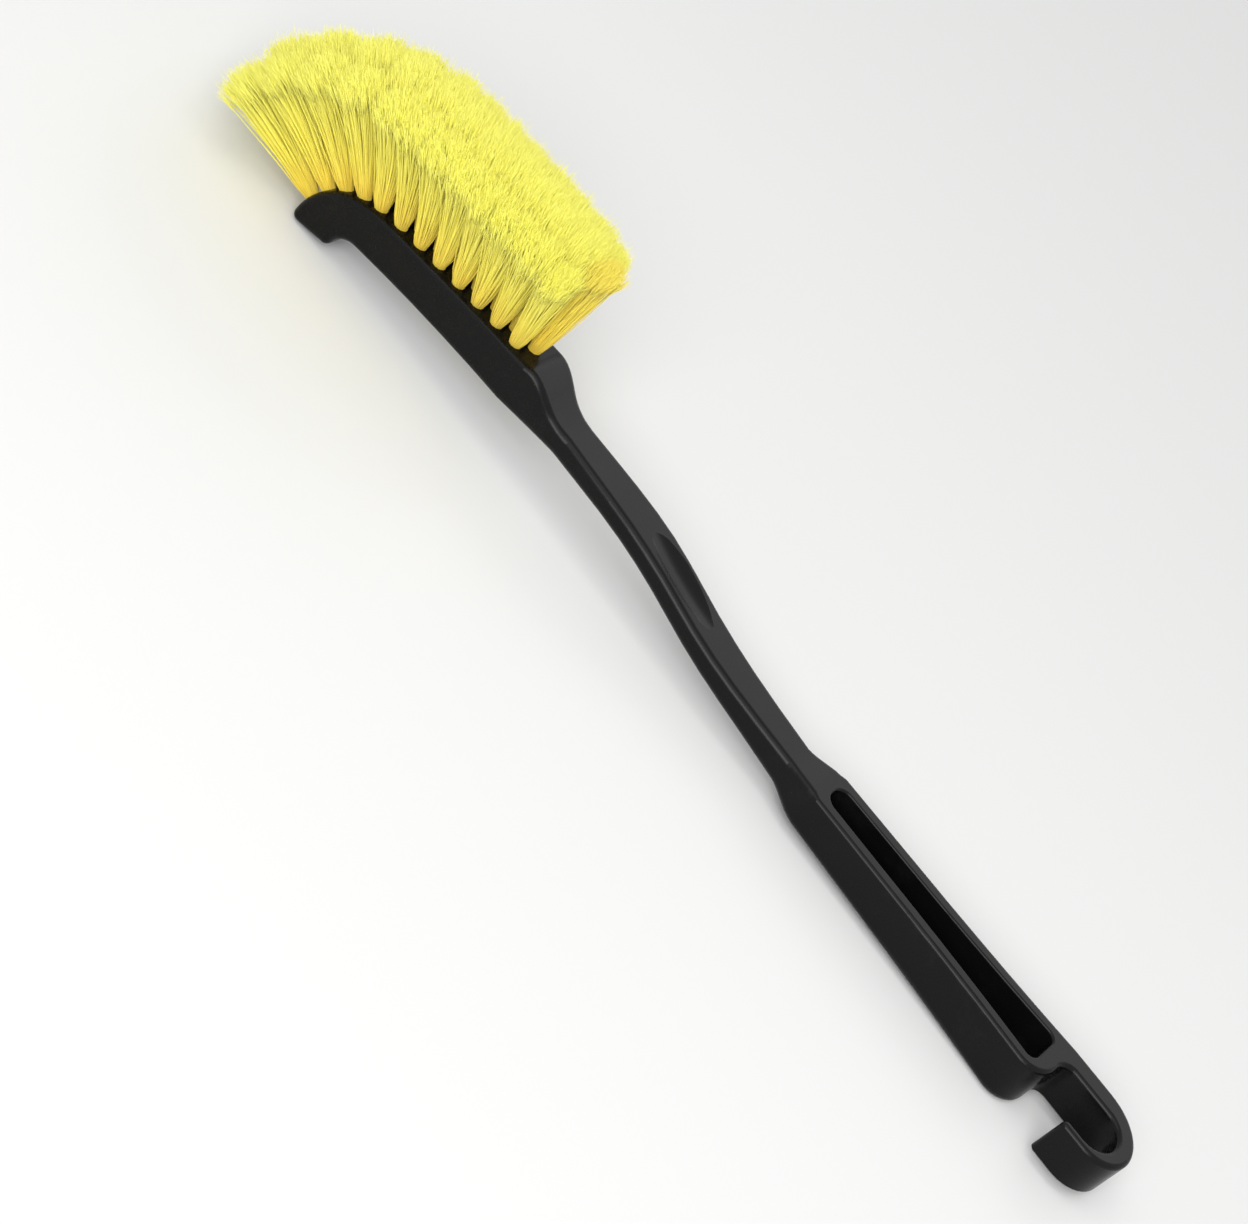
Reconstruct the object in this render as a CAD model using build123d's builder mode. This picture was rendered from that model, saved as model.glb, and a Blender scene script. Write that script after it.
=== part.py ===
# Hand brush for wheel rims: one moulded handle, three staggered rows of tufts, one anchor wire in each tuft.
# The brush lies on its back, bristles up: +X runs to the nose, +Y to the side where the hook is open.
import os
from math import cos, radians, sin

from build123d import *

os.makedirs("parts", exist_ok=True)

# ---- driving dimensions, mm ----
# lengths along the handle, from the tail of the hook to the nose
hook_length = 26.8
grip_length = 83.0
shoulder_length = 11.0
shank_length = 91.0
ramp_length = 19.5
head_length = 68.4

# grip: a wedge-shaped bar, flared towards its rear, with a long blind slot in its top
grip_front_half = 7.5
grip_waist_half = 7.95
grip_rear_half = 9.9
grip_flare_length = 50.0
grip_front_top = 14.1
grip_rear_top = 15.0
grip_front_under = 2.8
grip_rear_under = 0.0
heel_radius = 8.0
grip_top_round = 1.2
grip_under_round = 2.2
slot_wall = 3.7
slot_rear_wall = 5.2
slot_front_gap = 0.8
slot_floor_wall = 2.8
slot_front_radius = 3.4
slot_rear_radius = 2.6
slot_rim_round = 0.6

# hook: a flat band that carries on from the far side of the grip and curls back
hook_under = 2.7
hook_stem_band = 6.2
hook_tail_band = 4.9
hook_eye_radius = 6.8
hook_tip_radius = 1.35
hook_far_length = 14.0
hook_far_width = 12.5
hook_tip_reach = 4.3
hook_corner_radius = 3.8
hook_under_bevel = 0.8

# shank: slim and arched, with a dished thumb rest
shank_top_round = 2.0
shank_under_round = 2.4
rest_place = 51.0
rest_length = 30.0
rest_depth = 1.3
rest_hollow_radius = 9.0

# head: an arched bar, turned down at the nose to a flat foot
head_half = 8.1
head_round = 1.8
foot_front_radius = 2.0
foot_rear_radius = 2.0

# tufts: three rows, the middle one half a pitch back, fanned along and across the head
hole_width = 3.6  # across flats
hole_sides = 10
hole_depth = 5.0
tuft_clearance = 0.1
row_offset = 4.1
first_tuft = 3.2
pitch_body = 6.7
pitch_nose = 5.4
tufts_body = 8
tufts_nose = 4
hole_splay = 8.0
bristle_splay = 18.0
lean_rear = -2.0
lean_bend = 20.0
lean_nose = 64.0
bristle_rear = 33.0
bristle_nose = 37.0
outer_trim = 2.0
inner_strands = 3
outer_strands = 6
inner_ring = 0.55
strand_inset = 0.5
strand_radius = 0.42
strand_sides = 3
root_rise = 0.6
strand_bite = 0.1
flare_along = 2.9
flare_across = 5.2

# anchors: flat wire set on edge over the fold of each tuft, wedged across its hole
anchor_thickness = 0.35
anchor_height = 1.7
anchor_lift = 1.1
anchor_clearance = 0.02

margin = 1.0  # how far a cut runs past what it cuts
join_tolerance = 0.001

# shank sections: distance from its rear end, half width, underside, top
shank_sections = [
    (0, 5.4, 4.8, 13.0),
    (12, 5.8, 6.3, 13.5),
    (22, 6.2, 7.5, 14.1),
    (30, 6.5, 8.6, 14.9),
    (38, 6.7, 10.0, 16.1),
    (45, 6.8, 11.5, 17.5),
    (52, 6.9, 13.0, 18.9),
    (59, 7.0, 14.2, 20.0),
    (66, 6.9, 14.9, 20.7),
    (74, 6.7, 15.2, 21.1),
    (82, 6.4, 15.1, 21.3),
    (shank_length, 6.0, 14.9, 21.5),
]

# shoulder sections between the grip's front face and the shank, in the same terms from the shank back
shoulder_sections = [
    (9.5, 7.4, 2.9, 14.05),
    (7.8, 7.1, 3.1, 13.95),
    (2.8, 5.85, 4.3, 13.2),
    (1.2, 5.55, 4.65, 13.05),
    shank_sections[0],
]

# ramp sections, from the shank up over the crest of the head, in the same terms
ramp_sections = [
    (0, *shank_sections[-1][1:]),
    (5.5, 6.5, 14.8, 22.0),
    (10, 7.0, 14.6, 24.0),
    (14.3, 7.5, 14.4, 26.3),
    (17.2, 7.8, 14.2, 27.0),
    (ramp_length, head_half, 14.1, 26.8),
]

# head, in side view: places where its arcs meet, by distance from the crest and height
crest = (0, ramp_sections[-1][3])
crown_middle = (24, 24.35)
crown_front = (46, 21.7)
nose_top = (57.5, 18.9)
nose_face = (67.4, 9.2)
foot_front = (head_length, 0)
foot_rear = (56.5, 2.6)
under_front = (51, 9.2)
under_middle = (25.5, 12.3)
under_rear = (0, ramp_sections[-1][2])


def cross_section(x, half, under, top):
    """Plane, width and height of a section square to the length."""
    plane = Plane(origin=(x, 0, (under + top) / 2), x_dir=(0, 1, 0), z_dir=(1, 0, 0))
    return plane, 2 * half, top - under


def rounded_bar(width, height, top_round, under_round):
    """Bar section with its own corner radii above and below."""
    Rectangle(width, height)
    fillet(vertices().group_by(Axis.Y)[-1], top_round)
    fillet(vertices().group_by(Axis.Y)[0], under_round)


def flank(side, inset, x_front, x_rear):
    """Side of the grip in plan: straight at the front, then flared to the rear."""
    waist = (x_grip + grip_flare_length, side * (grip_waist_half - inset))
    straight = Line((x_front, side * (grip_front_half - inset)), waist)
    flare = TangentArc(waist, (x_rear, side * (grip_rear_half - inset)), tangent=straight % 1)
    return straight, flare


def flat_sided(apothem):
    """Outline of a tuft hole or a root, with flats square to the anchor."""
    RegularPolygon(apothem, hole_sides, major_radius=False, rotation=180 / hole_sides)


# ---- layout of the tufts, by distance along the crown ----
bend_distance = first_tuft + pitch_body / 2 + (tufts_body - 1) * pitch_body
nose_distance = bend_distance + tufts_nose * pitch_nose
outer_row = [first_tuft + pitch_body / 2 + number * pitch_body for number in range(tufts_body)]
outer_row += [bend_distance + number * pitch_nose for number in range(1, tufts_nose + 1)]
middle_row = [first_tuft] + [(rear + front) / 2 for rear, front in zip(outer_row, outer_row[1:])]
rows = [("near", 1, outer_row), ("middle", 0, middle_row), ("far", -1, outer_row)]


def crown_arcs():
    """Top line of the head: a long flat arc, then ever tighter ones round the nose."""
    back = ThreePointArc(crest, crown_middle, crown_front)
    bend = TangentArc(back @ 1, nose_top, tangent=back % 1)
    nose = TangentArc(bend @ 1, nose_face, tangent=bend % 1)
    return TangentArc(nose @ 1, foot_front, tangent=nose % 1)


with BuildLine(Plane.XZ) as crown:
    crown_arcs()


def lean_at(distance):
    """Forward lean of a tuft in degrees: it grows slowly along the body and fast round the nose."""
    if distance < bend_distance:
        return lean_rear + (lean_bend - lean_rear) * distance / bend_distance
    return lean_bend + (lean_nose - lean_bend) * (distance - bend_distance) / (nose_distance - bend_distance)


def bristle_at(distance, side):
    """Free length of the bristles of a tuft, a little shorter in the outer rows."""
    return bristle_rear + (bristle_nose - bristle_rear) * distance / nose_distance - outer_trim * abs(side)


def tuft_plane(distance, side, splay, x_crest):
    """Plane on the crown whose normal is the direction of a tuft."""
    lean, sideways = radians(lean_at(distance)), radians(side * splay)
    foot = crown.wire().position_at(distance, position_mode=PositionMode.LENGTH)
    normal = (sin(lean) * cos(sideways), sin(sideways), cos(lean) * cos(sideways))
    origin = (x_crest + foot.X, side * row_offset, foot.Z)
    return Plane(origin=origin, x_dir=(cos(lean), 0, -sin(lean)), z_dir=normal)


root_half = hole_width / 2 - tuft_clearance
outer_ring = root_half - strand_inset

# ---- places along the handle, with x = 0 midway between the hook's tail and the foremost bristle tips ----
crest_length = hook_length + grip_length + shoulder_length + shank_length + ramp_length
foremost_fan = tuft_plane(middle_row[-1], 0, bristle_splay, x_crest=0)
foremost_along = flare_along * outer_ring * cos(radians(180 / outer_strands)) + strand_radius
foremost_tip = foremost_fan.from_local_coords((foremost_along, 0, bristle_at(middle_row[-1], 0)))
x_tail = -(crest_length + foremost_tip.X) / 2
x_grip = x_tail + hook_length
x_shoulder = x_grip + grip_length
x_shank = x_shoulder + shoulder_length
x_ramp = x_shank + shank_length
x_head = x_ramp + ramp_length


# ---- tuft holes and the anchors across them ----
hole_planes = [tuft_plane(distance, side, hole_splay, x_head) for _, side, row in rows for distance in row]
anchor_middle = anchor_lift + anchor_height / 2 - hole_depth
anchor_planes = [plane.offset(anchor_middle) for plane in hole_planes]
anchor_length = hole_width - 2 * anchor_clearance

# ---- head: the side view of crown, foot and underside, carried across the head ----
side_view = Plane(origin=(x_head, 0, 0), x_dir=(1, 0, 0), z_dir=(0, -1, 0))
with BuildPart() as head:
    with BuildSketch(side_view):
        with BuildLine():
            crown_arcs()
            Line(foot_front, foot_rear)
            underside = ThreePointArc(under_rear, under_middle, under_front)
            TangentArc(under_front, foot_rear, tangent=underside % 1)
            Line(under_rear, crest)
        make_face()
        fillet(vertices().sort_by_distance(foot_front)[0], foot_front_radius)
        fillet(vertices().sort_by_distance(foot_rear)[0], foot_rear_radius)
    extrude(amount=head_half, both=True)
    sides = faces().filter_by(Axis.Y)
    fillet(sides.edges().filter_by_position(Axis.X, x_head + margin, x_head + 2 * head_length), head_round)

# ---- handle ----
y_far = -grip_rear_half
y_stem = y_far + hook_stem_band
y_corner = y_stem + hook_corner_radius
x_eye = x_tail + hook_tail_band + hook_eye_radius
y_eye = y_stem + hook_eye_radius
y_tail = y_far + hook_far_width
y_outer = y_eye + hook_eye_radius + 2 * hook_tip_radius
near_radius = y_outer - y_tail
x_tip = x_eye + hook_tip_reach

under_slope = (grip_front_under - grip_rear_under) / grip_length
top_slope = (grip_front_top - grip_rear_top) / grip_length
under_plane = Plane(origin=(x_grip, 0, grip_rear_under), x_dir=(1, 0, under_slope), z_dir=(-under_slope, 0, 1))
top_plane = Plane(origin=(x_grip, 0, grip_rear_top), x_dir=(1, 0, top_slope), z_dir=(-top_slope, 0, 1))

with BuildPart() as handle:
    # hook: a flat band, flared where it runs into the grip
    with BuildSketch(Plane.XY.offset(hook_under)):
        with BuildLine():
            corner = CenterArc((x_grip - hook_corner_radius, y_corner), hook_corner_radius, 0, -90)
            stem = Line(corner @ 1, (x_eye, y_stem))
            eye = CenterArc((x_eye, y_eye), hook_eye_radius, 270, -180)
            tip_inner = Line(eye @ 1, (x_tip, y_eye + hook_eye_radius))
            tip_end = CenterArc((x_tip, y_outer - hook_tip_radius), hook_tip_radius, 270, 180)
            Line(tip_end @ 1, (x_tail + near_radius, y_outer))
            CenterArc((x_tail + near_radius, y_tail), near_radius, 90, 90)
            EllipticalCenterArc(
                (x_tail + hook_far_length, y_tail), hook_far_length, hook_far_width, start_angle=180, arc_size=90
            )
            Polyline(
                (x_tail + hook_far_length, y_far),
                (x_grip, y_far),
                (x_grip + margin, y_far + margin),
                (x_grip + margin, y_corner),
                corner @ 0,
            )
        make_face()
    extrude(amount=grip_rear_top - hook_under + margin)
    band_edges = faces().sort_by(Axis.Z)[0].edges()
    chamfer(band_edges.filter_by_position(Axis.X, x_tail - margin, x_grip - hook_under_bevel), hook_under_bevel)

    # grip
    with BuildSketch(Plane.XY.offset(grip_rear_under - margin)):
        with BuildLine():
            near_side, near_flare = flank(1, 0, x_shoulder, x_grip)
            far_side, far_flare = flank(-1, 0, x_shoulder, x_grip)
            Line(near_flare @ 1, far_flare @ 1)
            Line(near_side @ 0, far_side @ 0)
        make_face()
        fillet(vertices().sort_by_distance(near_flare @ 1)[0], heel_radius)
    extrude(amount=grip_rear_top - grip_rear_under + 2 * margin)
    split(bisect_by=top_plane, keep=Keep.BOTTOM)
    split(bisect_by=under_plane, keep=Keep.TOP)
    top_edges = faces().filter_by(GeomType.PLANE).sort_by(Axis.Z)[-1].edges()
    fillet(top_edges.filter_by_position(Axis.X, x_tail - margin, x_shoulder - margin), grip_top_round)
    under_edges = faces().filter_by(GeomType.PLANE).sort_by(Axis.Z)[0].edges()
    fillet(under_edges.filter_by_position(Axis.X, x_grip - margin, x_shoulder - margin), grip_under_round)

    # blind slot in the top of the grip
    x_slot_rear = x_grip + slot_rear_wall
    x_slot_front = x_shoulder - slot_front_gap
    with BuildSketch(Plane.XY.offset(grip_front_under + slot_floor_wall)):
        with BuildLine():
            slot_near, near_bow = flank(1, slot_wall, x_slot_front, x_slot_rear)
            slot_far, far_bow = flank(-1, slot_wall, x_slot_front, x_slot_rear)
            Line(near_bow @ 1, far_bow @ 1)
            Line(slot_near @ 0, slot_far @ 0)
        make_face()
        fillet(vertices().group_by(Axis.X)[0], slot_rear_radius)
        fillet(vertices().group_by(Axis.X)[-1], slot_front_radius)
    extrude(amount=grip_rear_top, mode=Mode.SUBTRACT)
    top_face = faces().filter_by(GeomType.PLANE).sort_by(Axis.Z)[-1]
    fillet(top_face.inner_wires()[0].edges(), slot_rim_round)

    # shoulder: a facet with softened ends from the grip's front face to the shank
    add(faces().sort_by(Axis.X)[-1])
    for distance, half, under, top in shoulder_sections:
        plane, width, height = cross_section(x_shank - distance, half, under, top)
        with BuildSketch(plane):
            rounded_bar(width, height, shank_top_round, shank_under_round)
    loft(ruled=True)

    # shank: an arch of short straight spans, and ramp: one smooth rise to the crest
    for distance, half, under, top in shank_sections:
        plane, width, height = cross_section(x_shank + distance, half, under, top)
        with BuildSketch(plane):
            rounded_bar(width, height, shank_top_round, shank_under_round)
    loft(ruled=True)
    for distance, half, under, top in ramp_sections:
        share = distance / ramp_length
        top_round = shank_top_round + (head_round - shank_top_round) * share
        under_round = shank_under_round + (head_round - shank_under_round) * share
        plane, width, height = cross_section(x_ramp + distance, half, under, top)
        with BuildSketch(plane):
            rounded_bar(width, height, top_round, under_round)
    loft()

    # head: its rear end meets the ramp's end but for a hair
    add(handle.part.fuse(head.part, tol=join_tolerance), mode=Mode.REPLACE)

    # thumb rest: a shallow dish in the top of the shank
    rest_rear, rest_front = [
        (rear, front) for rear, front in zip(shank_sections, shank_sections[1:]) if rear[0] <= rest_place < front[0]
    ][0]
    rest_slope = (rest_front[3] - rest_rear[3]) / (rest_front[0] - rest_rear[0])
    rest_top = rest_rear[3] + rest_slope * (rest_place - rest_rear[0])
    rest_plane = Plane(origin=(x_shank + rest_place, 0, rest_top), x_dir=(1, 0, rest_slope), z_dir=(0, -1, 0))
    rest_axis_height = rest_hollow_radius - rest_depth
    with BuildSketch(rest_plane):
        with BuildLine():
            dish = ThreePointArc((-rest_length / 2, 0), (0, -rest_depth), (rest_length / 2, 0))
            Polyline(dish @ 1, (rest_length / 2, rest_axis_height), (-rest_length / 2, rest_axis_height), dish @ 0)
        make_face()
    rest_axis = Axis(rest_plane.from_local_coords((0, rest_axis_height, 0)), rest_plane.x_dir)
    revolve(axis=rest_axis, mode=Mode.SUBTRACT)

    # tuft holes
    with BuildSketch(*[plane.offset(2 * margin) for plane in hole_planes]):
        flat_sided(hole_width / 2)
    extrude(amount=-2 * margin - hole_depth, mode=Mode.SUBTRACT)
handle.part.label = "handle"
export_step(handle.part, "parts/handle.step")

# ---- anchors ----
with BuildPart() as anchor_staples:
    with Locations(*anchor_planes):
        Box(anchor_length, anchor_thickness, anchor_height)
anchor_staples.part.label = "anchor_staples"
export_step(anchor_staples.part, "parts/anchor_staples.step")

# ---- tufts: a folded root in the hole, and strands that fan out of it ----
inner_places = PolarLocations(inner_ring, inner_strands).locations
outer_places = PolarLocations(outer_ring, outer_strands, start_angle=180 / outer_strands).locations

for row_name, side, row in rows:
    for number, distance in enumerate(row, start=1):
        root = tuft_plane(distance, side, hole_splay, x_head)
        fan = tuft_plane(distance, side, bristle_splay, x_head)
        length = bristle_at(distance, side)
        strand_planes = []
        for place in inner_places + outer_places:
            along, across = place.position.X, place.position.Y
            start = root.from_local_coords((along, across, root_rise - strand_bite))
            end = fan.from_local_coords((flare_along * along, flare_across * across, length))
            strand_planes.append(Plane(origin=start, z_dir=end - start))
        with BuildPart() as tuft:
            with BuildSketch(root.offset(tuft_clearance - hole_depth)):
                flat_sided(root_half)
            extrude(amount=hole_depth - tuft_clearance + root_rise)
            with Locations(root.offset(anchor_middle)):
                Box(
                    hole_width,
                    anchor_thickness + 2 * tuft_clearance,
                    anchor_height + 2 * tuft_clearance,
                    mode=Mode.SUBTRACT,
                )
            with BuildSketch(*strand_planes):
                RegularPolygon(strand_radius, strand_sides)
            extrude(amount=length)
        tuft.part.label = f"tuft_{row_name}_{number:02d}"
        export_step(tuft.part, f"parts/{tuft.part.label}.step")
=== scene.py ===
import math

import bpy
import numpy as np
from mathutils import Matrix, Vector


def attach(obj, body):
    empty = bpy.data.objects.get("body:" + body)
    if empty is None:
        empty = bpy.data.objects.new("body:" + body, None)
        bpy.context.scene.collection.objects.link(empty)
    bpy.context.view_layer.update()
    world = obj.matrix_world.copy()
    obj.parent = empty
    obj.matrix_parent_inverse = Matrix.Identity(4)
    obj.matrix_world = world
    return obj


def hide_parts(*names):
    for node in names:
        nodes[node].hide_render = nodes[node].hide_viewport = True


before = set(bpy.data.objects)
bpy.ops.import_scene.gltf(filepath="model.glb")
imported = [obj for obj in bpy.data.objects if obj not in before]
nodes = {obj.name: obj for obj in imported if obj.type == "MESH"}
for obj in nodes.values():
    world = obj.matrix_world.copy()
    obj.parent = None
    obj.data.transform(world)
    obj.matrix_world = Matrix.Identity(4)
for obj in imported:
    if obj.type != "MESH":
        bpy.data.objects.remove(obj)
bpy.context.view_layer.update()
print("frame loaded:", len(nodes), "nodes")

perMetre = 1000  # millimetres
mixShare, mixFirst, mixSecond, mixResult = 0, 6, 7, 2  # sockets of a Mix node set to colours


def mm(*values):
    scaled = [v / perMetre for v in values]
    return scaled[0] if len(scaled) == 1 else tuple(scaled)


def deselectAll():
    bpy.ops.object.select_all(action="DESELECT")


def newGroup(name, inputs, outputs):
    group = bpy.data.node_groups.new(name, "ShaderNodeTree")
    for label, kind, value in inputs:
        socket = group.interface.new_socket(name=label, in_out="INPUT", socket_type=kind)
        if value is not None:
            socket.default_value = value
    for label, kind in outputs:
        group.interface.new_socket(name=label, in_out="OUTPUT", socket_type=kind)
    return group, group.nodes.new("NodeGroupInput"), group.nodes.new("NodeGroupOutput")


def addNode(tree, kind, settings=None, links=None):
    node = tree.nodes.new(kind)
    for name, value in (settings or {}).items():
        if isinstance(name, int) or name in [s.name for s in node.inputs]:
            node.inputs[name].default_value = value
        else:
            setattr(node, name, value)
    for name, source in (links or {}).items():
        tree.links.new(source, node.inputs[name])
    return node


# blends two colours, each given as a colour or as the socket that puts it out
def mixColours(tree, share, first, second):
    node = addNode(tree, "ShaderNodeMix", {"data_type": "RGBA"}, {mixShare: share})
    for place, colour in ((mixFirst, first), (mixSecond, second)):
        if isinstance(colour, tuple):
            node.inputs[place].default_value = colour
        else:
            tree.links.new(colour, node.inputs[place])
    return node.outputs[mixResult]


# fine spark-eroded mould texture with slow waves under it
def buildMouldGroup():
    group, given, out = newGroup(
        "mouldTexture",
        [("Vector", "NodeSocketVector", None), ("Grain Scale", "NodeSocketFloat", 2600.0),
         ("Wave Scale", "NodeSocketFloat", 60.0), ("Wave Share", "NodeSocketFloat", 0.6)],
        [("Height", "NodeSocketFloat"), ("Grain", "NodeSocketFloat"), ("Wave", "NodeSocketFloat")],
    )
    grain = addNode(group, "ShaderNodeTexNoise", {"Detail": 3.0, "Roughness": 0.6},
                    {"Vector": given.outputs["Vector"], "Scale": given.outputs["Grain Scale"]})
    wave = addNode(group, "ShaderNodeTexNoise", {"Detail": 1.0},
                   {"Vector": given.outputs["Vector"], "Scale": given.outputs["Wave Scale"]})
    scaledWave = addNode(group, "ShaderNodeMath", {"operation": "MULTIPLY"},
                         {0: wave.outputs["Fac"], 1: given.outputs["Wave Share"]})
    total = addNode(group, "ShaderNodeMath", {"operation": "ADD"},
                    {0: grain.outputs["Fac"], 1: scaledWave.outputs[0]})
    group.links.new(total.outputs[0], out.inputs["Height"])
    group.links.new(grain.outputs["Fac"], out.inputs["Grain"])
    group.links.new(wave.outputs["Fac"], out.inputs["Wave"])
    return group


# broken patches that mask wear or dust
def buildPatchGroup():
    group, given, out = newGroup(
        "patchMask",
        [("Vector", "NodeSocketVector", None), ("Scale", "NodeSocketFloat", 120.0),
         ("Low", "NodeSocketFloat", 0.5), ("High", "NodeSocketFloat", 0.7)],
        [("Mask", "NodeSocketFloat")],
    )
    noise = addNode(group, "ShaderNodeTexNoise", {"Detail": 6.0, "Roughness": 0.65},
                    {"Vector": given.outputs["Vector"], "Scale": given.outputs["Scale"]})
    band = addNode(group, "ShaderNodeMapRange", {"interpolation_type": "SMOOTHSTEP"},
                   {"Value": noise.outputs["Fac"], "From Min": given.outputs["Low"],
                    "From Max": given.outputs["High"]})
    group.links.new(band.outputs["Result"], out.inputs["Mask"])
    return group


mouldGroup = buildMouldGroup()
patchGroup = buildPatchGroup()


def placeGroup(tree, group, settings, vector):
    return addNode(tree, "ShaderNodeGroup", {"node_tree": group, **settings}, {"Vector": vector})


def startMaterial(name):
    material = bpy.data.materials.new(name)
    material.use_nodes = True
    tree = material.node_tree
    return material, tree, tree.nodes["Principled BSDF"]


# black polypropylene of the handle
handlePlastic = {
    "deep": (0.0028, 0.0027, 0.0028, 1),
    "pale": (0.0045, 0.0044, 0.0046, 1),
    "mould": {"Grain Scale": 2400.0, "Wave Scale": 55.0, "Wave Share": 0.8},
    "dust": (0.018, 0.017, 0.016, 1),
    "dustPatches": {"Scale": 90.0, "Low": 0.52, "High": 0.78},
    "dustShare": 0.25,
    "roughnessLow": 0.20,
    "roughnessHigh": 0.32,
    "specular": 0.15,
    "grainBump": 0.10,
    "grainHeight": mm(0.02),
}


def makeHandlePlastic():
    s = handlePlastic
    material, tree, shader = startMaterial("handlePlastic")
    place = addNode(tree, "ShaderNodeTexCoord").outputs["Object"]
    mould = placeGroup(tree, mouldGroup, s["mould"], place)
    dust = placeGroup(tree, patchGroup, s["dustPatches"], place)
    tint = mixColours(tree, mould.outputs["Wave"], s["deep"], s["pale"])
    dustShare = addNode(tree, "ShaderNodeMath", {"operation": "MULTIPLY", 1: s["dustShare"]},
                        {0: dust.outputs["Mask"]})
    colour = mixColours(tree, dustShare.outputs[0], tint, s["dust"])
    rough = addNode(tree, "ShaderNodeMapRange",
                    {"To Min": s["roughnessLow"], "To Max": s["roughnessHigh"]},
                    {"Value": mould.outputs["Grain"]})
    bump = addNode(tree, "ShaderNodeBump", {"Strength": s["grainBump"], "Distance": s["grainHeight"]},
                   {"Height": mould.outputs["Height"]})
    tree.links.new(colour, shader.inputs["Base Color"])
    tree.links.new(rough.outputs["Result"], shader.inputs["Roughness"])
    tree.links.new(bump.outputs["Normal"], shader.inputs["Normal"])
    shader.inputs["Specular IOR Level"].default_value = s["specular"]
    return material


# flat wire that holds the folded tufts
anchorMetal = {
    "dark": (0.42, 0.40, 0.37, 1),
    "light": (0.66, 0.64, 0.60, 1),
    "drawn": (4.0, 1.0, 1.0),  # scale of the pattern, finer along the head
    "mould": {"Grain Scale": 3000.0, "Wave Scale": 400.0, "Wave Share": 0.5},
    "roughnessLow": 0.28,
    "roughnessHigh": 0.5,
}


def makeAnchorMetal():
    s = anchorMetal
    material, tree, shader = startMaterial("anchorMetal")
    place = addNode(tree, "ShaderNodeTexCoord").outputs["Object"]
    drawn = addNode(tree, "ShaderNodeMapping", {"Scale": s["drawn"]}, {"Vector": place})
    mould = placeGroup(tree, mouldGroup, s["mould"], drawn.outputs["Vector"])
    tint = mixColours(tree, mould.outputs["Grain"], s["dark"], s["light"])
    rough = addNode(tree, "ShaderNodeMapRange",
                    {"To Min": s["roughnessLow"], "To Max": s["roughnessHigh"]},
                    {"Value": mould.outputs["Wave"]})
    tree.links.new(tint, shader.inputs["Base Color"])
    tree.links.new(rough.outputs["Result"], shader.inputs["Roughness"])
    shader.inputs["Metallic"].default_value = 1.0
    return material


# soft plastic filaments, clear yellow at the tip; the orange-yellow towards the root is painted shade,
# where the tufts shade each other
bristleFilament = {
    # painted shade: darker orange-yellow at the roots, where the tufts shade each other
    "paintedRootShade": (0.90, 0.66, 0.07, 1),
    "body": (0.98, 0.87, 0.12, 1),
    "bodyAt": 0.35,  # share of the free length
    "tip": (0.985, 0.965, 0.20, 1),
    # painted shade: orange-ochre for the rearmost middle tuft, which stands in shade
    "paintedShade": (0.90, 0.62, 0.05, 1),
    "rearPaintedShade": 0.4,  # share on the rearmost middle tuft: painted shade, as that tuft stands in shade
    "shadeLow": 0.93,  # brightness of the darkest filament
    "shadeHigh": 1.01,  # and of the lightest
    "roughness": 0.6,
    "specular": 0.3,
    "sheen": 0.35,
    "sheenRoughness": 0.5,
    "sheenTint": (1.0, 0.97, 0.35, 1),
}


def makeBristleFilament():
    s = bristleFilament
    material, tree, shader = startMaterial("bristleFilament")
    along = addNode(tree, "ShaderNodeAttribute", {"attribute_name": "along"})
    tone = addNode(tree, "ShaderNodeAttribute", {"attribute_name": "tone"})
    paintedShade = addNode(tree, "ShaderNodeAttribute", {"attribute_name": "paintedShade"})
    # the ramp paints shade: orange-yellow at the roots, clear yellow at the tips
    ramp = addNode(tree, "ShaderNodeValToRGB", None, {"Fac": along.outputs["Fac"]})
    root, tip = ramp.color_ramp.elements
    root.color, tip.color = s["paintedRootShade"], s["tip"]
    middle = ramp.color_ramp.elements.new(s["bodyAt"])
    middle.color = s["body"]
    # painted shade on the rearmost middle tuft
    withPaintedShade = mixColours(tree, paintedShade.outputs["Fac"], ramp.outputs["Color"], s["paintedShade"])
    shade = addNode(tree, "ShaderNodeMapRange", {"To Min": s["shadeLow"], "To Max": s["shadeHigh"]},
                    {"Value": tone.outputs["Fac"]})
    varied = addNode(tree, "ShaderNodeHueSaturation", None,
                     {"Value": shade.outputs["Result"], "Color": withPaintedShade})
    tree.links.new(varied.outputs["Color"], shader.inputs["Base Color"])
    shader.inputs["Roughness"].default_value = s["roughness"]
    shader.inputs["Specular IOR Level"].default_value = s["specular"]
    shader.inputs["Sheen Weight"].default_value = s["sheen"]
    shader.inputs["Sheen Roughness"].default_value = s["sheenRoughness"]
    shader.inputs["Sheen Tint"].default_value = s["sheenTint"]
    return material


plastic = makeHandlePlastic()
metal = makeAnchorMetal()
filament = makeBristleFilament()

for name, material in (("handle", plastic), ("anchor_staples", metal)):
    mesh = nodes[name].data
    mesh.materials.clear()
    mesh.materials.append(material)
print("CAD pieces finished")

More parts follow.
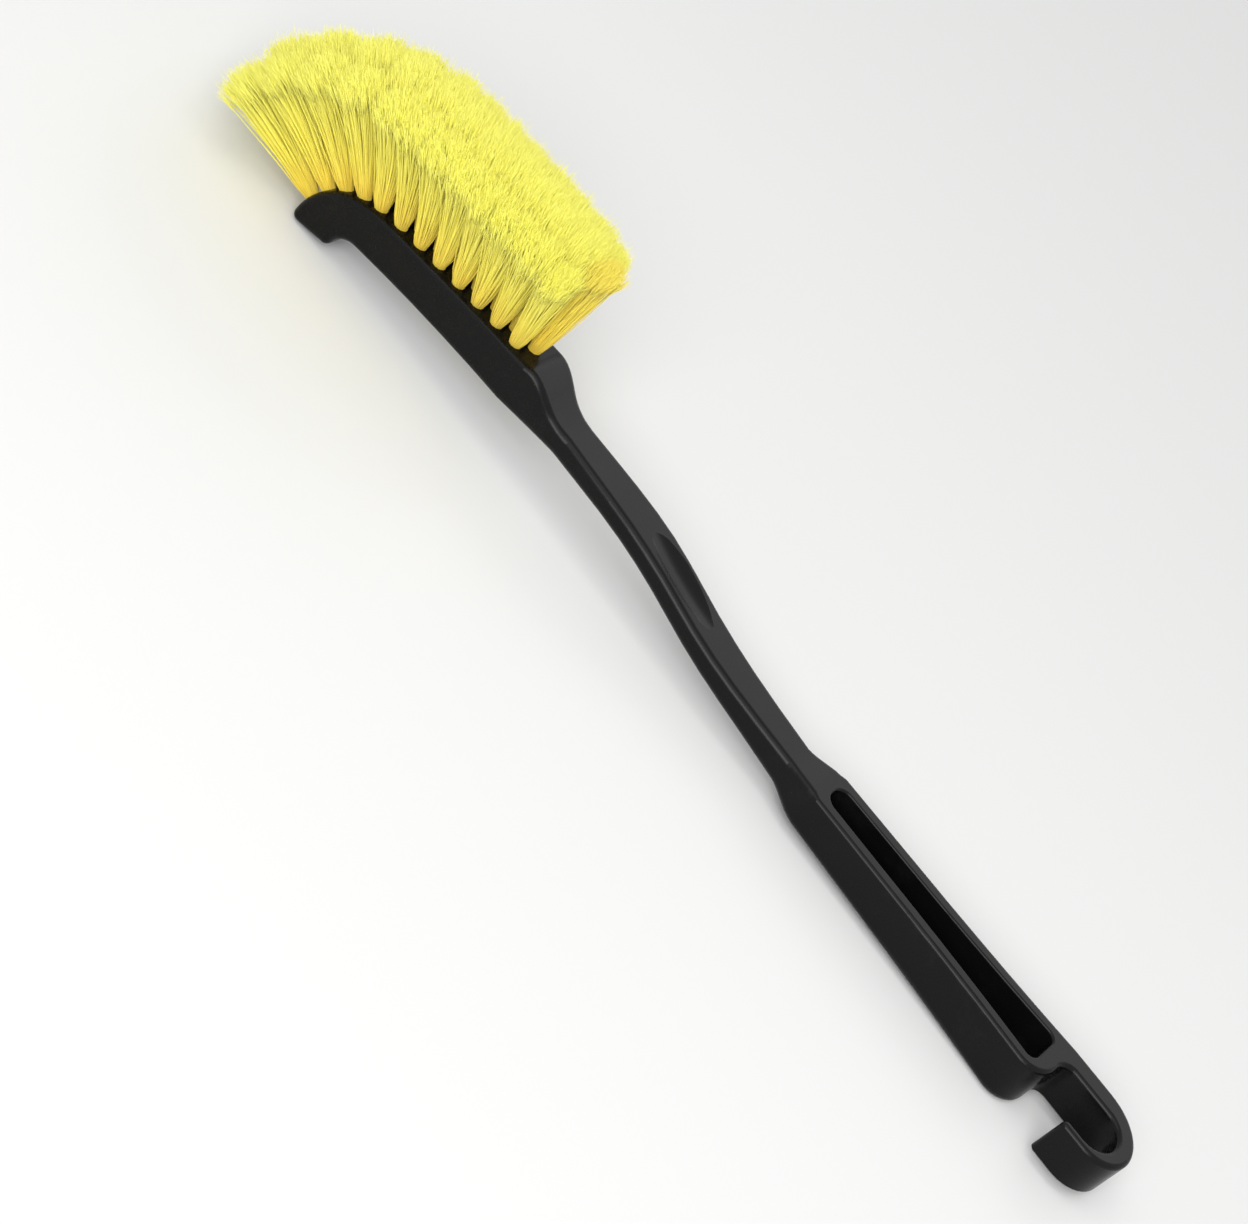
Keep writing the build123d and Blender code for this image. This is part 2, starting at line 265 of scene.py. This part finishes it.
# one tuft of loose filaments stands for each CAD tuft; sizes in mm, angles in degrees
tuftSizes = {
    "sides": {"near": 1, "middle": 0, "far": -1},  # which way a row is splayed
    "perRow": 12,
    "noseFrom": 10,  # from this number on a tuft stands round the nose
    "seeds": {"near": 100, "middle": 200, "far": 300},
    "cadDecimals": 7,  # corners of a CAD tuft that agree to these decimals of a metre are one
    "cadRootDepth": 4.9,  # of the folded end in its hole
    "cadRootCorners": 10,
    "cadTipCorners": 27,
    "filaments": 300,
    "radius": 0.13,  # of one filament
    "radiusRange": (0.85, 1.1),  # thinnest and thickest, as shares of the radius
    "rootRadius": 1.6,  # of the bundle in its hole
    "rootDepth": 1.2,
    "bulge": 0.55,  # growth of the tuft just above its hole
    "bulgeHeight": 1.4,
    "holeSplay": 8.0,
    "bristleSplay": 16.0,
    "holePull": 0.9,  # how long a tuft keeps to its hole's direction before it bends to its own
    "bristlePull": 0.1,
    "tipAlong": 5.4,  # half widths of the brushed-out tips
    "tipAcross": 6.8,
    "rearAlong": 0.62,  # the rearmost tufts keep together, the ones round the nose spread out
    "rearAcross": {"near": 1.0, "middle": 0.85, "far": 0.62},
    "noseAcross": 1.15,
    "lastAlong": 1.35,
    "firstReach": 0.96,  # the rearmost tufts are a little shorter
    "flarePower": 1.05,
    "flareSpread": 0.05,
    "dome": 0.07,  # filaments at a tuft's edge end this share lower
    "lengthSpread": 0.05,
    "lengthGain": 0.4,  # a filament is longer than usual by this share of the spread at most
    "wander": 1.1,  # of a filament's tip
    "wanderPower": 1.5,
    "bow": 0.35,  # of its middle
    "spans": 7,
    "spacing": 1.6,  # spans get longer towards the tip
    "smoothFrom": 0.85,
    "taper": 0.4,
    "taperPower": 3,
    "hairs": 3,  # the tip of a filament is split into these
    "hairSpans": 2,
    "hairSpacing": 1.0,
    "hairSmoothFrom": -1,  # smooth all over
    "hairStart": 0.82,
    "hairReach": 1.01,
    "hairSpread": 0.8,
    "hairRadius": 0.55,
    "hairTaper": 0.7,
    "fullTurn": 6.28,  # radians
    "slopeStep": 0.01,  # a slope is taken over this share of the length to each side
}


# one filament: a thin four-sided bar of unit length, cut into spans; its lower part stays flat shaded
def modelFilament(spans, smoothFrom):
    half = 0.5  # of its length
    deselectAll()
    bpy.ops.mesh.primitive_cylinder_add(vertices=4, radius=1, depth=1, end_fill_type="TRIFAN",
                                        location=(0, 0, half))
    bar = bpy.context.object
    bpy.ops.object.mode_set(mode="EDIT")
    bpy.ops.mesh.select_mode(type="EDGE")
    bpy.ops.mesh.select_all(action="DESELECT")
    bpy.ops.object.mode_set(mode="OBJECT")
    for edge in bar.data.edges:  # only the long ones are cut
        a, b = (bar.data.vertices[v].co for v in edge.vertices)
        edge.select = abs(a.z - b.z) > half
    bpy.ops.object.mode_set(mode="EDIT")
    bpy.ops.mesh.subdivide(number_cuts=spans - 1)
    bpy.ops.object.mode_set(mode="OBJECT")
    bpy.ops.object.transform_apply(location=True, rotation=True, scale=True)
    model = {
        "points": np.array([v.co for v in bar.data.vertices]),
        "faces": [list(face.vertices) for face in bar.data.polygons],
        "smooth": [face.center.z > smoothFrom for face in bar.data.polygons],
    }
    bpy.data.objects.remove(bar)
    print("filament:", len(model["points"]), "points,", len(model["faces"]), "faces")
    return model


filamentBar = modelFilament(tuftSizes["spans"], tuftSizes["smoothFrom"])
hairBar = modelFilament(tuftSizes["hairSpans"], tuftSizes["hairSmoothFrom"])


# bends copies of a bar along smooth lines: lineAt gives the places on them for shares of the free length
def bendBars(bar, lineAt, low, high, radii, phases, taper, spacing):
    points = bar["points"]
    step = tuftSizes["slopeStep"]
    t = points[:, 2][None, :]
    share = low[:, None] + (high - low)[:, None] * t ** spacing
    centre = lineAt(share)
    tangent = lineAt(share + step) - lineAt(share - step)
    tangent /= np.linalg.norm(tangent, axis=2, keepdims=True)
    side = np.cross(tangent, np.array([0.0, 1.0, 0.0]))
    side /= np.linalg.norm(side, axis=2, keepdims=True)
    up = np.cross(tangent, side)
    cosine, sine = np.cos(phases)[:, None], np.sin(phases)[:, None]
    x = points[:, 0] * cosine - points[:, 1] * sine
    y = points[:, 0] * sine + points[:, 1] * cosine
    width = radii[:, None] * (1 - taper * t ** tuftSizes["taperPower"])
    placed = centre + (width * x)[:, :, None] * side + (width * y)[:, :, None] * up
    return placed.reshape(-1, 3), share.reshape(-1)


# direction of a tuft that leans forward and is splayed to its side
def tuftNormal(lean, splay):
    splay = math.radians(splay)
    upright = math.cos(splay)
    return np.array([math.sin(lean) * upright, math.sin(splay), math.cos(lean) * upright])


# foot on the crown, lean and free length of a tuft, all read from the CAD tuft
def readTuft(name, side):
    s = tuftSizes
    corners = np.array([v.co for v in nodes[name].data.vertices])
    points = np.unique(corners.round(s["cadDecimals"]), axis=0) * perMetre
    fromMiddle = np.linalg.norm(points - points.mean(axis=0), axis=1)
    tips = points[np.argsort(fromMiddle)[-s["cadTipCorners"]:]].mean(axis=0)
    fromTips = np.linalg.norm(points - tips, axis=1)
    bottom = points[np.argsort(fromTips)[-s["cadRootCorners"]:]].mean(axis=0)
    lean = math.atan2(tips[0] - bottom[0], tips[2] - bottom[2])
    foot = bottom + tuftNormal(lean, side * s["holeSplay"]) * s["cadRootDepth"]
    return foot, lean, np.linalg.norm(tips - foot)


# all bars of a tuft as one mesh, with the attributes that the filament material reads;
# a part is a bar, the places of its copies' corners and their shares of the free length
def joinBars(name, parts, tones, paintedShadeShare):
    points = np.concatenate([placed for _, placed, _ in parts])
    along = np.concatenate([share for _, _, share in parts])
    tone = np.concatenate([np.repeat(tones, len(bar["points"])) for bar, _, _ in parts])
    # share of painted shade at each point
    paintedShade = np.full(len(points), paintedShadeShare)
    faces, smooth, shift = [], [], 0
    for bar, _, _ in parts:
        for _ in tones:
            faces += [[corner + shift for corner in face] for face in bar["faces"]]
            smooth += bar["smooth"]
            shift += len(bar["points"])
    mesh = bpy.data.meshes.new(name)
    mesh.from_pydata((points / perMetre).tolist(), [], faces)
    mesh.polygons.foreach_set("use_smooth", smooth)
    for label, values in (("along", along), ("tone", tone), ("paintedShade", paintedShade)):
        mesh.attributes.new(label, "FLOAT", "POINT").data.foreach_set("value", values.astype(np.float32))
    mesh.materials.append(filament)
    return mesh


def makeTuft(rowName, side, number):
    s = tuftSizes
    rng = np.random.default_rng(s["seeds"][rowName] + number)
    origin, lean, free = readTuft(f"tuft_{rowName}_{number:02d}", side)
    xWay = np.array([math.cos(lean), 0, -math.sin(lean)])
    holeWay = tuftNormal(lean, side * s["holeSplay"])
    bristleWay = tuftNormal(lean, side * s["bristleSplay"])
    yWay = np.cross(bristleWay, xWay)
    # u and v place the filaments evenly over a disc, each a golden angle on from the last
    count = s["filaments"]
    ring = np.sqrt((np.arange(count) + 0.5) / count)
    turn = np.arange(count) * math.pi * (3 - math.sqrt(5)) + rng.uniform(0, s["fullTurn"])
    u, v = (ring * np.cos(turn))[:, None], (ring * np.sin(turn))[:, None]
    spread = 1 + rng.normal(0, s["flareSpread"], (count, 1))
    tipAlong, tipAcross = s["tipAlong"], s["tipAcross"]
    if number == 1:
        tipAlong *= s["rearAlong"]
        tipAcross *= s["rearAcross"][rowName]
    elif number >= s["noseFrom"] or rowName == "middle":
        tipAcross *= s["noseAcross"]
        tipAlong *= s["lastAlong"] if number == s["perRow"] else 1
    wanderU, wanderV = rng.normal(0, s["wander"], (2, count, 1))
    bowU, bowV = rng.normal(0, s["bow"], (2, count, 1))

    def lineAt(share):
        out = np.maximum(share, 0)
        bulge = s["bulge"] * (1 - np.exp(-out * free / s["bulgeHeight"]))
        grown = out ** s["flarePower"] * spread
        along = s["rootRadius"] + bulge + (tipAlong - s["rootRadius"] - s["bulge"]) * grown
        across = s["rootRadius"] + bulge + (tipAcross - s["rootRadius"] - s["bulge"]) * grown
        offsetU = u * along + wanderU * out ** s["wanderPower"] + bowU * np.sin(math.pi * out)
        offsetV = v * across + wanderV * out ** s["wanderPower"] + bowV * np.sin(math.pi * out)
        early = share * (1 - share)
        axis = holeWay * (early * s["holePull"] * free)[:, :, None]
        axis += bristleWay * (share ** 2 * free)[:, :, None]
        axis += bristleWay * (early * s["bristlePull"] * free)[:, :, None]
        return origin + axis + offsetU[:, :, None] * xWay + offsetV[:, :, None] * yWay

    reach = 1 + rng.uniform(-s["lengthSpread"], s["lengthSpread"] * s["lengthGain"], count)
    reach *= (s["firstReach"] if number == 1 else 1) * (1 - s["dome"] * ring ** 2)
    radii = s["radius"] * rng.uniform(*s["radiusRange"], count)
    low = np.full(count, -s["rootDepth"] / free)
    parts = [(filamentBar, *bendBars(filamentBar, lineAt, low, reach, radii,
                                     rng.uniform(0, s["fullTurn"], count), s["taper"], s["spacing"]))]
    for _ in range(s["hairs"]):
        hairWay = rng.normal(0, s["hairSpread"], (count, 1, 3))

        def hairAt(share):
            past = np.maximum(share / reach[:, None] - s["hairStart"], 0) / (1 - s["hairStart"])
            return lineAt(share) + hairWay * past[:, :, None]

        parts.append((hairBar, *bendBars(hairBar, hairAt, reach * s["hairStart"], reach * s["hairReach"],
                                         radii * s["hairRadius"], rng.uniform(0, s["fullTurn"], count),
                                         s["hairTaper"], s["hairSpacing"])))
    tones = rng.uniform(0, 1, count)
    # the rearmost middle tuft gets painted shade
    paintedShadeShare = bristleFilament["rearPaintedShade"] if (rowName, number) == ("middle", 1) else 0.0
    mesh = joinBars(f"bristles_{rowName}_{number:02d}", parts, tones, paintedShadeShare)
    tuft = bpy.data.objects.new(mesh.name, mesh)
    bpy.context.scene.collection.objects.link(tuft)
    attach(tuft, "root")
    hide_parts(f"tuft_{rowName}_{number:02d}")


for rowName, side in tuftSizes["sides"].items():
    for number in range(1, tuftSizes["perRow"] + 1):
        makeTuft(rowName, side, number)
print("tufts made")

# pale floor, plain lamps and the camera of the photograph, in metres; lamps: place, target, size, watts
stageLook = {
    "floor": (0.785, 0.785, 0.78, 1),
    "floorSize": 6,
    "floorRoughness": 0.9,
    "floorFade": (0.5, 1.0),  # from here to there the floor turns into the white background
    "world": 0.50,  # strength of the light from all round
    "lamps": {
        "softbox": ((0.1, 0.42, 1.1), (0, 0, 0), (1.3, 0.8), 5.0),
        "frontLamp": ((-0.2, 1.27, 0.96), (0, 0, 0), (1.0, 0.8), 17.0),
        "backLamp": ((-0.05, -0.95, 0.72), (-0.05, 0, 0), (0.95, 0.5), 1.3),
    },
    "camera": mm(-91.14, 657.6, 494.2),
    "cameraTurn": (42.873, -35.387, -139.442),  # degrees about x, y and z
    "lens": 100,
    "sensor": 36,
}


# 1 where the background is seen: straight, mirrored or through glass
def seenRays(tree):
    path = addNode(tree, "ShaderNodeLightPath")
    mirrored = addNode(tree, "ShaderNodeMath", {"operation": "ADD"},
                       {0: path.outputs["Is Glossy Ray"], 1: path.outputs["Is Transmission Ray"]})
    seen = addNode(tree, "ShaderNodeMath", {"operation": "ADD", "use_clamp": True},
                   {0: path.outputs["Is Camera Ray"], 1: mirrored.outputs[0]})
    return seen.outputs[0]


def makeFloor():
    deselectAll()
    bpy.ops.mesh.primitive_plane_add(size=stageLook["floorSize"], location=(0, 0, 0))
    floor = bpy.context.object
    floor.name = "floor"
    material, tree, shader = startMaterial("floorPaper")
    shader.inputs["Base Color"].default_value = stageLook["floor"]
    shader.inputs["Roughness"].default_value = stageLook["floorRoughness"]
    shader.inputs["Specular IOR Level"].default_value = 0.0
    place = addNode(tree, "ShaderNodeTexCoord").outputs["Object"]
    distance = addNode(tree, "ShaderNodeVectorMath", {"operation": "LENGTH"}, {0: place})
    near, far = stageLook["floorFade"]
    fade = addNode(tree, "ShaderNodeMapRange",
                   {"interpolation_type": "SMOOTHSTEP", "From Min": near, "From Max": far},
                   {"Value": distance.outputs["Value"]})
    share = addNode(tree, "ShaderNodeMath", {"operation": "MULTIPLY"},
                    {0: fade.outputs["Result"], 1: seenRays(tree)})
    white = addNode(tree, "ShaderNodeEmission", {"Color": (1, 1, 1, 1), "Strength": 1.0})
    blend = addNode(tree, "ShaderNodeMixShader", None,
                    {0: share.outputs[0], 1: shader.outputs["BSDF"], 2: white.outputs["Emission"]})
    tree.links.new(blend.outputs[0], tree.nodes["Material Output"].inputs["Surface"])
    floor.data.materials.append(material)


def makeWorld():
    world = bpy.data.worlds.new("studio")
    bpy.context.scene.world = world
    world.use_nodes = True
    tree = world.node_tree
    background = tree.nodes["Background"]
    strength = addNode(tree, "ShaderNodeMapRange", {"To Min": stageLook["world"], "To Max": 1.0},
                       {"Value": seenRays(tree)})
    background.inputs["Color"].default_value = (1, 1, 1, 1)
    tree.links.new(strength.outputs["Result"], background.inputs["Strength"])


def addLamp(name, place, target, size, power):
    deselectAll()
    bpy.ops.object.light_add(type="AREA", location=place)
    lamp = bpy.context.object
    lamp.name = name
    lamp.data.shape = "RECTANGLE"
    lamp.data.size, lamp.data.size_y = size
    lamp.data.energy = power
    lamp.rotation_euler = (Vector(target) - Vector(place)).to_track_quat("-Z", "Y").to_euler()


def placeCamera():
    cameraData = bpy.data.cameras.new("photoCamera")
    cameraData.lens = stageLook["lens"]
    cameraData.sensor_width = stageLook["sensor"]
    camera = bpy.data.objects.new("photoCamera", cameraData)
    bpy.context.scene.collection.objects.link(camera)
    camera.location = stageLook["camera"]
    camera.rotation_euler = [math.radians(angle) for angle in stageLook["cameraTurn"]]
    bpy.context.scene.camera = camera


makeFloor()
makeWorld()
for lampName, (place, target, size, power) in stageLook["lamps"].items():
    addLamp(lampName, place, target, size, power)
placeCamera()
bpy.context.scene.view_settings.view_transform = "Standard"
print("stage set")
